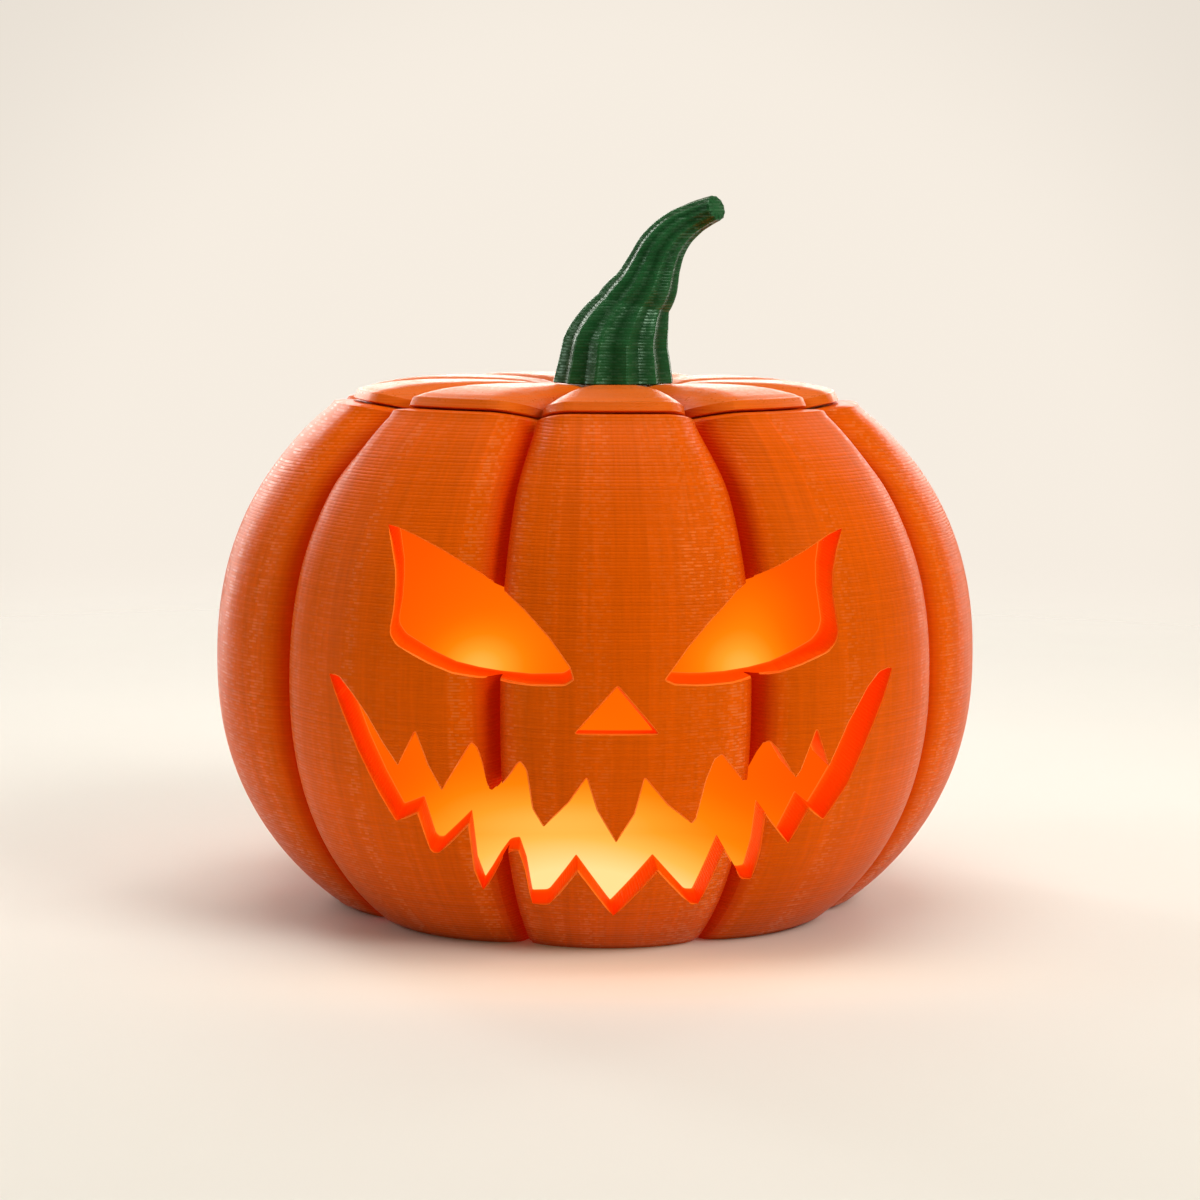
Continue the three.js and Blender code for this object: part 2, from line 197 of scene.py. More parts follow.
ANGLE = (COLS[:, 0] - 0.5 + COLS[:, 3]) * STEP


def at(r, a, z):
    z = np.broadcast_to(np.asarray(z, float), np.shape(r))
    return np.stack([r * np.sin(a), -r * np.cos(a), z], axis=-1)


def outside_y(x, z):
    y = -math.sqrt(max(R * R - x * x, 1))
    for _ in range(30):
        s = (math.atan2(x, -y) / STEP + 0.5 + LOBES) % 1
        i = int(np.clip(np.searchsorted(FACET_EDGES, s, side="right") - 1, 0, len(FACET_EDGES) - 2))
        c = np.array([[0, FACET_EDGES[i], FACET_EDGES[i + 1], s]])
        r = float(chord(outer, np.array([z]), c)[0])
        y = -math.sqrt(max(r * r - x * x, 1))
    return y


# ---------------------------------------------------------------- mesh helpers
def make_object(name, verts, faces, materials=(), indices=None):
    mesh = bpy.data.meshes.new(name)
    mesh.from_pydata((np.asarray(verts) / 1000.0).tolist(), [], faces)
    for m in materials:
        mesh.materials.append(m)
    if indices is not None:
        mesh.polygons.foreach_set("material_index", np.asarray(indices, dtype=np.int32))
    mesh.update()
    obj = bpy.data.objects.new(name, mesh)
    scene.collection.objects.link(obj)
    return obj


def ring_solid(bottom, rings, top):
    """Vertices and faces of a closed solid from rings listed from the bottom up."""
    n = len(rings[0])
    verts = [np.array([bottom])] + [np.asarray(r) for r in rings] + [np.array([top])]
    verts = np.concatenate(verts)
    last = 1 + n * len(rings)
    faces = []
    for j in range(n):
        k = (j + 1) % n
        faces.append((0, 1 + k, 1 + j))
        for i in range(len(rings) - 1):
            a, b = 1 + i * n, 1 + (i + 1) * n
            faces.append((a + j, a + k, b + k, b + j))
        faces.append((last, last - n + j, last - n + k))
    return verts, faces


def outline(points, radius=0.30, step=0.9):
    """The outline in mm with eased corners and short edges, anticlockwise from the front."""
    p = [Vector((x * R, z * R)) for x, z in points]
    area = sum(a.x * b.y - b.x * a.y for a, b in zip(p, p[1:] + p[:1]))
    if area < 0:
        p.reverse()
    n, eased = len(p), []
    for i in range(n):
        a, b, c = p[i - 1], p[i], p[(i + 1) % n]
        u, v = (a - b), (c - b)
        turn = math.pi - u.angle(v)
        if turn < 0.35:
            eased.append(b)
            continue
        d = min(radius / max(math.tan(turn / 2), 0.6) if turn < 1.2 else radius * 0.8, 0.35 * u.length, 0.35 * v.length)
        p0, p1 = b + u.normalized() * d, b + v.normalized() * d
        for t in (0.0, 0.33, 0.67, 1.0):
            eased.append(p0 * (1 - t) ** 2 + b * 2 * t * (1 - t) + p1 * t * t)
    out = []
    n = len(eased)
    for i in range(n):
        a, b = eased[i], eased[(i + 1) % n]
        m = max(1, int(math.ceil((b - a).length / step)))
        out += [a.lerp(b, k / m) for k in range(m)]
    return out


def cutter(name, points, fall=0.0, materials=()):
    p = outline(points)
    n = len(p)
    near, far = -1.25 * R, -0.30 * R
    rows = [[], [], [], []]
    face = np.array([outside_y(b.x, b.y) for b in p])
    for _ in range(6):
        face = (np.roll(face, 1) + face * 2 + np.roll(face, -1)) / 4
    for i in range(n):
        a, b, c = p[i - 1], p[i], p[(i + 1) % n]
        e0, e1 = (b - a).normalized(), (c - b).normalized()
        n0, n1 = Vector((e0.y, -e0.x)), Vector((e1.y, -e1.x))
        m = n0 + n1
        m = m / max(m.length_squared / 2, 0.8) if m.length > 1e-6 else n0
        y0 = float(face[i])
        dx = CUT_YAW - CUT_PINCH * b.x / R
        for row, (y, grow) in zip(rows, ((near, EDGE_OUT), (y0, EDGE_OUT), (y0 + EDGE_IN, 0.0), (far, 0.0))):
            d = y - y0
            row.append((b.x + dx * d + m.x * grow, y, b.y + fall * d + m.y * grow))
    verts = [v for row in rows for v in row]
    faces, index = [], []
    for k in range(3):
        for i in range(n):
            j = (i + 1) % n
            faces.append((k * n + i, (k + 1) * n + i, (k + 1) * n + j, k * n + j))
            index.append(3 if k < 2 else 2)
    faces += [tuple(range(n)), tuple(range(4 * n - 1, 3 * n - 1, -1))]
    index += [2, 2]
    obj = make_object(name, verts, faces, materials, index)
    bm = bmesh.new()
    bm.from_mesh(obj.data)
    bmesh.ops.triangulate(bm, faces=bm.faces[:])
    bmesh.ops.recalc_face_normals(bm, faces=bm.faces[:])
    bm.to_mesh(obj.data)
    bm.free()
    return obj


def subtract(obj, tools):
    for t in tools:
        mod = obj.modifiers.new("cut", "BOOLEAN")
        mod.operation = "DIFFERENCE"
        mod.solver = "MANIFOLD"
        mod.object = t
    bpy.context.view_layer.update()
    dg = bpy.context.evaluated_depsgraph_get()
    made = bpy.data.meshes.new_from_object(obj.evaluated_get(dg))
    obj.modifiers.clear()
    old = obj.data
    obj.data = made
    bpy.data.meshes.remove(old)
    for t in tools:
        m = t.data
        bpy.data.objects.remove(t)
        bpy.data.meshes.remove(m)


def coordinates(mesh):
    co = np.zeros(len(mesh.vertices) * 3, np.float32)
    mesh.vertices.foreach_get("co", co)
    return co.reshape(-1, 3).astype(float) * 1000.0


def point_value(mesh, name, values):
    a = mesh.attributes.new(name, "FLOAT", "POINT")
    a.data.foreach_set("value", np.asarray(values, np.float32))


def shade(mesh, degrees):
    mesh.shade_smooth()
    mesh.set_sharp_from_angle(angle=math.radians(degrees))


# ---------------------------------------------------------------- material helpers
class Nodes:
    """A thin writer for one material's node tree."""

    def __init__(self, name):
        self.mat = bpy.data.materials.new(name)
        self.mat.use_nodes = True
        self.tree = self.mat.node_tree
        self.tree.nodes.clear()
        self.out = self.tree.nodes.new("ShaderNodeOutputMaterial")
        self.bsdf = self.tree.nodes.new("ShaderNodeBsdfPrincipled")
        self.link(self.bsdf.outputs[0], self.out.inputs[0])
        coord = self.tree.nodes.new("ShaderNodeTexCoord")
        self.pos = self.vec("MULTIPLY", coord.outputs["Object"], (1000.0, 1000.0, 1000.0))
        sep = self.tree.nodes.new("ShaderNodeSeparateXYZ")
        self.link(self.pos, sep.inputs[0])
        self.x, self.y, self.z = sep.outputs

    def link(self, a, b):
        self.tree.links.new(a, b)

    def _put(self, socket, value):
        if hasattr(value, "is_output"):
            self.link(value, socket)
        else:
            socket.default_value = value

    def math(self, op, a, b=0.0, c=0.0, clamp=False):
        n = self.tree.nodes.new("ShaderNodeMath")
        n.operation, n.use_clamp = op, clamp
        for s, v in zip(n.inputs, (a, b, c)):
            self._put(s, v)
        return n.outputs[0]

    def vec(self, op, a, b):
        n = self.tree.nodes.new("ShaderNodeVectorMath")
        n.operation = op
        self._put(n.inputs[0], a)
        self._put(n.inputs[1], b)
        return n.outputs[0]

    def combine(self, x, y, z):
        n = self.tree.nodes.new("ShaderNodeCombineXYZ")
        for s, v in zip(n.inputs, (x, y, z)):
            self._put(s, v)
        return n.outputs[0]

    def attribute(self, name):
        n = self.tree.nodes.new("ShaderNodeAttribute")
        n.attribute_name = name
        return n.outputs["Fac"]

    def noise(self, vector, scale, detail=2.0, rough=0.5):
        n = self.tree.nodes.new("ShaderNodeTexNoise")
        self._put(n.inputs["Vector"], vector)
        n.inputs["Scale"].default_value = scale
        n.inputs["Detail"].default_value = detail
        n.inputs["Roughness"].default_value = rough
        return n.outputs["Fac"]

    def white(self, w):
        n = self.tree.nodes.new("ShaderNodeTexWhiteNoise")
        n.noise_dimensions = "1D"
        self._put(n.inputs["W"], w)
        return n.outputs["Value"]

    def span(self, v, a, b, c=0.0, d=1.0, kind="LINEAR"):
        n = self.tree.nodes.new("ShaderNodeMapRange")
        n.interpolation_type = kind
        for s, x in zip(n.inputs, (v, a, b, c, d)):
            self._put(s, x)
        return n.outputs[0]

    def ramp(self, fac, stops, mode="LINEAR"):
        n = self.tree.nodes.new("ShaderNodeValToRGB")
        self.link(fac, n.inputs[0])
        r = n.color_ramp
        r.interpolation = mode
        while len(r.elements) < len(stops):
            r.elements.new(0.5)
        for e, (p, c) in zip(r.elements, stops):
            e.position, e.color = p, (*c, 1.0)
        return n.outputs[0]

    def mix(self, fac, a, b, kind="MIX"):
        n = self.tree.nodes.new("ShaderNodeMix")
        n.data_type, n.blend_type = "RGBA", kind
        self._put(n.inputs["Factor"], fac)
        self._put(n.inputs[6], a if hasattr(a, "is_output") else (*a, 1.0))
        self._put(n.inputs[7], b if hasattr(b, "is_output") else (*b, 1.0))
        return n.outputs[2]

    def bump(self, height, distance, strength=1.0, normal=None):
        n = self.tree.nodes.new("ShaderNodeBump")
        n.inputs["Strength"].default_value = strength
        n.inputs["Distance"].default_value = distance / 1000.0
        self._put(n.inputs["Height"], height)
        if normal is not None:
            self.link(normal, n.inputs["Normal"])
        return n.outputs[0]

    def set(self, name, value):
        self._put(self.bsdf.inputs[name], value)


def layers(n, pitch, wander=0.10):
    """Rounded layer ridges: 0 in the joint between two layers, 1 on the crown of a layer."""
    slow = n.noise(n.vec("MULTIPLY", n.pos, (0.05, 0.05, 0.30)), 1.0, 1.0)
    level = n.math("ADD", n.math("DIVIDE", n.z, pitch), n.math("MULTIPLY", slow, wander * 2))
    part = n.math("FRACT", level)
    ridge = n.math("SUBTRACT", 1.0, n.math("POWER", n.math("ABSOLUTE", n.math("MULTIPLY_ADD", part, 2.0, -1.0)), 2.5))
    index = n.math("FLOOR", level)
    return ridge, n.white(index), index


def around(n):
    """Length round the axis in mm, at the lantern's radius, and height: for streaks."""
    turn = n.math("ARCTAN2", n.x, n.math("MULTIPLY", n.y, -1.0))
    return n.math("MULTIPLY", turn, R)


def dashes(n, ridge, rand, index, length):
    """Short dashes along the crowns of the layers, each a random value where it shows: a mask for the painted highlight
    dashes of the orange plastic and for a higher specular level.
    """
    cell = n.math("FLOOR", n.math("MULTIPLY_ADD", rand, 31.0, n.math("DIVIDE", n.x, length)))
    value = n.white(n.math("ADD", n.math("MULTIPLY", cell, 7.13), n.math("MULTIPLY", index, 131.7)))
    return n.math("MULTIPLY", n.span(value, 0.40, 0.85), n.span(ridge, 0.45, 0.95))


def orange_plastic():
    n = Nodes("orange_plastic")
    ridge, rand, index = layers(n, LAYER)
    arc = around(n)
    streak = n.noise(n.combine(arc, 0.0, n.math("MULTIPLY", n.z, 0.02)), 0.55, 2.0)
    speck = n.noise(n.combine(n.math("MULTIPLY", arc, 1.7), 0.0, n.math("MULTIPLY", n.z, 1.3)), 1.0, 2.0, 0.6)
    cloud = n.noise(n.pos, 0.035, 2.0)
    groove_shade, facet_tone_and_highlight = n.attribute("groove_shade"), n.attribute("facet_tone_and_highlight")
    highlight_dash = n.math("MULTIPLY", dashes(n, ridge, rand, index, HIGHLIGHT_DASH), n.span(facet_tone_and_highlight, 0.35, 0.95, 0.06, 1.0))
    # painted shade: each lobe turns deep red towards its grooves
    base = n.mix(groove_shade, ORANGE_OPEN, ORANGE_GROOVE_SHADE)
    weave = n.noise(n.combine(n.math("MULTIPLY", arc, 1.6), 0.0, n.math("MULTIPLY", n.z, 0.14)), 1.0, 1.0)
    tone = n.math("ADD", n.span(streak, 0.3, 0.7, -0.04, 0.04), n.span(cloud, 0.3, 0.7, -0.04, 0.04))
    tone = n.math("ADD", tone, n.span(weave, 0.3, 0.7, -0.035, 0.035))
    tone = n.math("ADD", tone, n.math("MULTIPLY_ADD", rand, 0.07, -0.035))
    # partly random facet tone, partly painted highlight: facets with a high value are lighter
    tone = n.math("ADD", tone, n.math("MULTIPLY_ADD", facet_tone_and_highlight, 0.06, -0.02))
    tone = n.math("ADD", tone, n.span(rand, 0.88, 0.90, 0.0, -0.08))
    tone = n.math("ADD", tone, n.span(ridge, 0.0, 0.5, -0.07, 0.0))
    # painted shade: the body is up to 24 percent darker near the table, fading out by 24 mm up
    tone = n.math("ADD", tone, n.span(n.z, 2.0, 24.0, -0.24, 0.0))
    bright = n.math("ADD", tone, 1.0)
    base = n.mix(1.0, base, n.combine(bright, bright, bright), "MULTIPLY")
    # painted highlight: the base colour is mixed towards pale orange on the dashes
    base = n.mix(n.math("MULTIPLY", highlight_dash, 0.22), base, DASH_HIGHLIGHT_COLOUR)
    n.set("Base Color", base)
    n.set("Roughness", n.span(highlight_dash, 0.0, 1.0, 0.36, 0.24))
    n.set("Specular IOR Level", n.span(highlight_dash, 0.0, 0.8, SHEEN, DASH_SHEEN))
    n.set("Specular Tint", (1.0, 0.40, 0.10, 1.0))
    # painted light: a faint red glow in the grooves stands in for bounce light there
    n.set("Emission Color", n.mix(groove_shade, (0.0, 0.0, 0.0), GROOVE_PAINTED_GLOW))
    n.set("Emission Strength", 1.0)
    height = n.math("MULTIPLY", ridge, n.math("MULTIPLY_ADD", rand, 0.5, 0.75))
    first = n.bump(height, 0.032)
    n.set("Normal", n.bump(speck, 0.026, 1.0, first))
    return n.mat


def glow_field(n):
    """How hot the inside looks at a point: hottest on the floor, soft pools on the back wall."""
    def bell(v, middle, width):
        t = n.math("MULTIPLY_ADD", v, 1.0 / width, -middle / width)
        return n.math("EXPONENT", n.math("MULTIPLY", n.math("MULTIPLY", t, t), -1.0))

    def times(*factors):
        out = factors[0]
        for f in factors[1:]:
            out = n.math("MULTIPLY", out, f)
        return out
    wall = times(bell(n.x, 0.0, 41.0), bell(n.z, 24.0, 44.0), 0.42)
    along = n.span(n.y, 30.0, -12.0, 0.44, 0.78)
    floor = times(bell(n.x, -4.0, 36.0), bell(n.math("MAXIMUM", n.z, 3.0), 3.0, 6.5), along)
    back = n.span(n.y, 5.0, 25.0, 0.0, 1.0)
    pools = ((-16.5, 8.0, 29.5, 6.5, 0.42), (29.3, 7.2, 30.0, 6.5, 0.47), (31.0, 7.0, 40.0, 8.0, 0.17),
             (-20.0, 9.0, 9.0, 5.0, 0.06), (-37.0, 8.0, 24.0, 8.0, 0.06), (4.0, 13.0, 26.0, 10.0, -0.11))
    total = n.math("ADD", wall, floor)
    for x, wide, z, high, amount in pools:
        total = n.math("ADD", total, times(bell(n.x, x, wide), bell(n.z, z, high), back, amount))
    return n.math("ADD", total, 0.0, clamp=True)


def inside_glow():
    n = Nodes("inside_glow")
    ridge, rand, _ = layers(n, LAYER)
    g = glow_field(n)
    colour = n.ramp(g, [
        (0.0, (0.93, 0.052, 0.0004)), (0.20, (0.99, 0.100, 0.0005)), (0.35, (0.99, 0.155, 0.0006)),
        (0.50, (0.99, 0.235, 0.003)), (0.65, (0.99, 0.365, 0.022)), (0.80, (0.99, 0.53, 0.085)),
        (1.0, (0.99, 0.78, 0.31)),
    ])
    n.set("Base Color", (0.03, 0.004, 0.0, 1.0))
    n.set("Roughness", 0.8)
    n.set("Specular IOR Level", 0.1)
    n.set("Emission Color", colour)
    n.set("Emission Strength", 1.0)
    n.set("Normal", n.bump(n.math("MULTIPLY", ridge, n.math("MULTIPLY_ADD", rand, 0.5, 0.75)), 0.035))
    return n.mat


def cut_face():
    n = Nodes("cut_wall_glow")
    ridge, rand, _ = layers(n, LAYER)
    depth = n.attribute("depth")
    # painted glow from the light inside: the cut walls glow deep red at the outer edge, brighter inwards, and pale
    # orange at the inner edge
    colour = n.ramp(depth, [
        (0.0, (0.30, 0.014, 0.0)), (0.25, (0.42, 0.018, 0.0)), (0.70, (0.55, 0.026, 0.0)),
        (0.92, (0.75, 0.060, 0.001)), (1.0, (0.95, 0.20, 0.02)),
    ])
    n.set("Base Color", (0.66, 0.105, 0.0006, 1.0))
    n.set("Roughness", 0.5)
    n.set("Specular IOR Level", 0.3)
    n.set("Specular Tint", (1.0, 0.25, 0.05, 1.0))
    n.set("Emission Color", colour)
    n.set("Emission Strength", 0.80)
    n.set("Normal", n.bump(n.math("MULTIPLY", ridge, n.math("MULTIPLY_ADD", rand, 0.5, 0.75)), 0.045))
    return n.mat


def cut_edge_glow():
    n = Nodes("cut_edge_glow")
    tone = n.noise(n.pos, 0.8, 2.0)
    # painted highlight and glow: the chamfer round each opening is paler than the body's orange and glows faintly red
    colour = n.mix(tone, (0.85, 0.17, 0.006), (0.95, 0.26, 0.03))
    n.set("Base Color", colour)
    n.set("Roughness", 0.42)
    n.set("Specular Tint", (1.0, 0.30, 0.05, 1.0))
    n.set("Emission Color", (0.6, 0.05, 0.0, 1.0))
    n.set("Emission Strength", 0.20)
    return n.mat


def lid_plastic():
    n = Nodes("orange_lid_plastic")
    ridge, rand, _ = layers(n, 0.115, 0.05)
    side, _, _ = layers(n, LAYER)
    cloud = n.noise(n.pos, 0.08, 2.0)
    speck = n.noise(n.pos, 1.6, 2.0, 0.6)
    groove_shade = n.attribute("groove_shade")
    # painted shade: the lid is darker and redder in its grooves
    base = n.mix(n.span(groove_shade, 0.0, 1.0), (0.82, 0.140, 0.0008), (0.50, 0.034, 0.0004))
    bright = n.math("ADD", 1.0, n.math("ADD", n.span(cloud, 0.3, 0.7, -0.05, 0.05), n.math("MULTIPLY_ADD", rand, 0.10, -0.05)))
    n.set("Base Color", n.mix(1.0, base, n.combine(bright, bright, bright), "MULTIPLY"))
    n.set("Roughness", n.math("ADD", n.span(speck, 0.3, 0.7, 0.24, 0.38), n.math("MULTIPLY", rand, 0.08)))
    n.set("Specular IOR Level", 0.65)
    n.set("Specular Tint", (1.0, 0.35, 0.06, 1.0))
    first = n.bump(ridge, 0.018)
    second = n.bump(side, 0.014, 1.0, first)
    n.set("Normal", n.bump(speck, 0.020, 1.0, second))
    return n.mat


def green_plastic():
    n = Nodes("green_plastic")
    ridge, rand, index = layers(n, LAYER)
    edge = n.attribute("ridge")
    cloud = n.noise(n.pos, 0.12, 2.0)
    speck = n.noise(n.vec("MULTIPLY", n.pos, (1.6, 1.6, 2.2)), 1.0, 2.0, 0.6)
    # painted shade and highlight: the stem is darker in the valleys between its ribs and lighter on their crests
    base = n.mix(n.span(edge, 0.0, 1.0), (0.0066, 0.063, 0.0155), (0.0155, 0.115, 0.034))
    bright = n.math("ADD", 1.0, n.math("ADD", n.span(cloud, 0.3, 0.7, -0.10, 0.10), n.math("MULTIPLY_ADD", rand, 0.20, -0.10)))
    n.set("Base Color", n.mix(1.0, base, n.combine(bright, bright, bright), "MULTIPLY"))
    n.set("Roughness", n.math("ADD", n.span(speck, 0.3, 0.7, 0.20, 0.32), n.math("MULTIPLY", rand, 0.08)))
    shine = dashes(n, ridge, rand, index, 0.8)
    n.set("Specular IOR Level", n.span(shine, 0.0, 0.6, 0.22, 0.80))
    n.set("Specular Tint", (0.60, 1.0, 0.75, 1.0))
    height = n.math("MULTIPLY", ridge, n.math("MULTIPLY_ADD", rand, 0.6, 0.7))
    first = n.bump(height, 0.030)
    n.set("Normal", n.bump(speck, 0.02, 1.0, first))
    return n.mat


ORANGE, GLOW, CUT_GLOW, EDGE_GLOW = orange_plastic(), inside_glow(), cut_face(), cut_edge_glow()
LID, GREEN = lid_plastic(), green_plastic()


# ---------------------------------------------------------------- body
def cavity_radius(z):
    g = lambda y: profile(y) * (1 - groove_depth(np.minimum(y, 1.12 * R)))
    return g(z) - GROOVE_WALL * np.hypot(1, g(z + 0.5) - g(z - 0.5))


def make_body():
    mats = (ORANGE, GLOW, CUT_GLOW, EDGE_GLOW)
    tops = seat_z(chord(lambda s, z: rim(s), 0))
    rim_r = chord(lambda s, z: rim(s), 0)
    r0 = chord(outer, 0.0)
    rings = [at(r0 - BASE_EDGE - 0.10, ANGLE, 0.0)]
    for t in (0.25, 0.6):
        rings.append(at(r0 - BASE_EDGE * (1 - math.sin(t * math.pi / 2)) * 0.9, ANGLE, BASE_EDGE * (1 - math.cos(t * math.pi / 2))))
    rows = 96
    for i in range(rows + 1):
        t = i / rows
        u = t + 0.10 * math.sin(2 * math.pi * t) / (2 * math.pi)
        z = BASE_EDGE + (tops - BASE_EDGE) * u
        r = chord(outer, z)
        if i == rows:                     # the top edge is eased
            rings.append(at(r * 0.5 + rings[-1][:, :2].__pow__(2).sum(1) ** 0.5 * 0.5, ANGLE, z - 0.12))
            rings.append(at(r - 0.22, ANGLE, z))
        else:
            rings.append(at(r, ANGLE, z))
    rings.append(at(rim_r * 0.999, ANGLE, seat_z(rim_r) + 0 * z))
    rings.append(at(np.full(len(ANGLE), MOUTH_R - 2), ANGLE, seat_z(MOUTH_R - 2)))
    verts, faces = ring_solid((0, 0, 0), rings, (0, 0, seat_z(MOUTH_R - 2)))
    body = make_object("lantern_body", verts, faces, mats, [0] * len(faces))

    sides, ca = 180, np.arange(180) * 2 * math.pi / 180
    neck = 1.235 * R
    pts = []
    corner = 2.6                           # the floor meets the wall in a small fillet
    foot = float(cavity_radius(FLOOR_T + corner))
    for k in range(7):
        f = k / 6 * math.pi / 2
        pts.append((foot - corner * (1 - math.sin(f)), FLOOR_T + corner * (1 - math.cos(f))))
    for k in range(1, 61):
        t = k / 60
        z = FLOOR_T + corner + (neck - FLOOR_T - corner) * (1 - math.cos(math.pi * t)) / 2
        pts.append((max(MOUTH_R, float(cavity_radius(z))), z))
    pts += [(MOUTH_R, neck + 0.6), (MOUTH_R, 1.5 * R)]
    rings = [at(np.full(sides, r), ca, z) for r, z in pts]
    verts, faces = ring_solid((0, 0, FLOOR_T), rings, (0, 0, 1.5 * R))
    hollow = make_object("hollow", verts, faces, mats, [1] * len(faces))
    tools = [hollow, cutter("c1", EYE_LEFT, 0, mats), cutter("c2", EYE_RIGHT, 0, mats),
             cutter("c3", NOSE, NOSE_FALL, mats), cutter("c4", MOUTH, 0, mats)]
    subtract(body, tools)
    mesh = body.data
    co = coordinates(mesh)
    r = np.hypot(co[:, 0], co[:, 1])
    s = (np.arctan2(co[:, 0], -co[:, 1]) / STEP + 0.5 + LOBES) % 1
    z = co[:, 2]
    ro = outer(s, np.clip(z, 0, 79))
    rc = np.maximum(cavity_radius(np.clip(z, FLOOR_T, neck)), MOUTH_R)
    d = np.minimum(s, 1 - s)
    outside = r > rc + 0.5
    # mask of the painted groove shade and glow, on the outer skin only
    point_value(mesh, "groove_shade", np.clip(1 - d / GROOVE_SHADE_REACH, 0, 1) ** 1.8 * outside)
    lobe_number = np.floor((np.arctan2(co[:, 0], -co[:, 1]) / STEP + 0.5 + LOBES) % LOBES).astype(int)
    facet = np.clip(np.searchsorted(FACET_EDGES, s, side="right") - 1, 0, len(FACET_EDGES) - 2)
    point_value(mesh, "facet_tone_and_highlight", FACET_TONE_AND_HIGHLIGHT[lobe_number, facet] * outside)
    point_value(mesh, "depth", np.clip((ro - r) / np.maximum(ro - rc, 0.5), 0, 1))
    shade(mesh, 34)
    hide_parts("body")
    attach(body, "root")
    return body


# ---------------------------------------------------------------- lid
def make_lid():
    rr = chord(lambda s, z: rim(s), 0)
    s = COLS[:, 3]
    eased = lambda rows, t: (table(rows, t - 0.012) + table(rows, t) * 2 + table(rows, t + 0.012)) / 4

    def top_z(t):
        valley = eased(LID_VALLEY, t) * (1 - notch(s, LID_FLANK) ** 0.9)
        base = SEAT_Z + (seat_z(rr) - SEAT_Z) * t * t
        return base + (eased(LID_RISE, t) - valley) * R

    def place(t, z, grow=1.0):
        r, k = rr * t * grow, 1 - t
        return np.stack([r * np.sin(ANGLE) + CROWN[0] * k, -r * np.cos(ANGLE) + CROWN[1] * k, z], axis=-1)

    flat = MOUTH_R - 1.5
    under = seat_z(flat) + GAP
    low = seat_z(rr) + GAP
    rings = [at(np.full(len(ANGLE), flat), ANGLE, under), at(rr - 0.25, ANGLE, low - 0.0), at(rr, ANGLE, low + 0.22)]
    rim_top = top_z(1.0)
    rings.append(place(1.0, low + 0.22 + (rim_top - low - 0.22) * 0.5, 0.9915))
    rings.append(place(1.0, rim_top - 0.05, 0.983))
    for t in (0.9985, 0.992, 0.978, 0.962, 0.950, 0.938, 0.92, 0.90, 0.88, 0.86, 0.84, 0.81, 0.78, 0.75, 0.72, 0.68, 0.64,
              0.60, 0.56, 0.52, 0.49, 0.46, 0.43, 0.40, 0.37, 0.35, 0.335, 0.32, 0.30):
        rings.append(place(t * 0.982, top_z(t)))
    verts, faces = ring_solid((0, 0, under), rings,
                              (CROWN[0], CROWN[1], SEAT_Z + (LID_RISE[0][1] - LID_VALLEY[0][1]) * R))
    lid = make_object("lantern_lid", verts, faces, (LID,), [0] * len(faces))
    co = coordinates(lid.data)
    n = len(ANGLE)
    d = np.concatenate([[0.5], np.tile(np.minimum(s, 1 - s), len(rings)), [0.5]])
    # mask of the painted groove shade on the lid
    point_value(lid.data, "groove_shade", np.clip(1 - d / 0.10, 0, 1) ** 1.5 * 0.8)
    shade(lid.data, 17)
    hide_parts("lid")
    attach(lid, "root")
    return lid


# ---------------------------------------------------------------- stem
def catmull(points, t):
    """Centripetal Catmull-Rom curve through the points, t from 0 to 1."""
    n = len(points)
    p = (n - 1) * min(max(t, 0.0), 1.0)
    i = min(int(p), n - 2)
    w = p - i
    p1, p2 = points[i], points[i + 1]
    p0 = points[i - 1] if i > 0 else 2 * points[0] - points[1]
    p3 = points[i + 2] if i + 2 < n else 2 * points[-1] - points[-2]
    d0, d1, d2 = (max(float(np.sum((b - a) ** 2)) ** 0.25, 1e-4) for a, b in ((p0, p1), (p1, p2), (p2, p3)))
    t1 = ((p1 - p0) / d0 - (p2 - p0) / (d0 + d1) + (p2 - p1) / d1) * d1
    t2 = ((p2 - p1) / d1 - (p3 - p1) / (d1 + d2) + (p3 - p2) / d2) * d1
    return p1 + t1 * w + (-3 * p1 + 3 * p2 - 2 * t1 - t2) * w ** 2 + (2 * p1 - 2 * p2 + t1 + t2) * w ** 3


